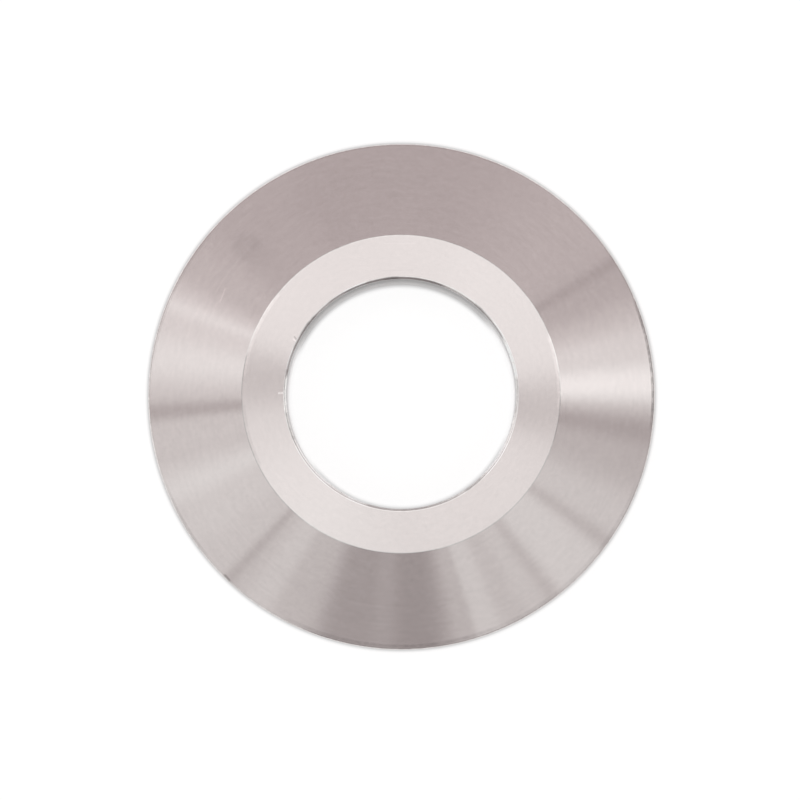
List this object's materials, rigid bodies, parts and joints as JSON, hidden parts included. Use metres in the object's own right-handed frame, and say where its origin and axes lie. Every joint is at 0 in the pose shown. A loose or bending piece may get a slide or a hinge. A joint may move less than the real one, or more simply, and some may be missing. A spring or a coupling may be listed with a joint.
{
  "type": "sanitary clamp end cap",
  "caption": "Round turned stainless end cap for a sanitary clamp joint, with a grooved sealing face, a short rim, a conical clamp shoulder, a flat land and a straight bore right through.",
  "frame": {"origin": "centre of the sealing face, where the turning axis meets it", "axes": "+Z along the turning axis, from the sealing face towards the land on the tapered side; X and Y lie in the sealing face, at any turn because the cap is round"},
  "size_m": [0.0506, 0.0506, 0.0063],
  "materials": {
    "turned_stainless": "finely turned stainless steel, satin, with fine tool marks that run round the axis"
  },
  "bodies": {
    "root": {"end_cap": "turned_stainless"}
  },
  "joints": []
}
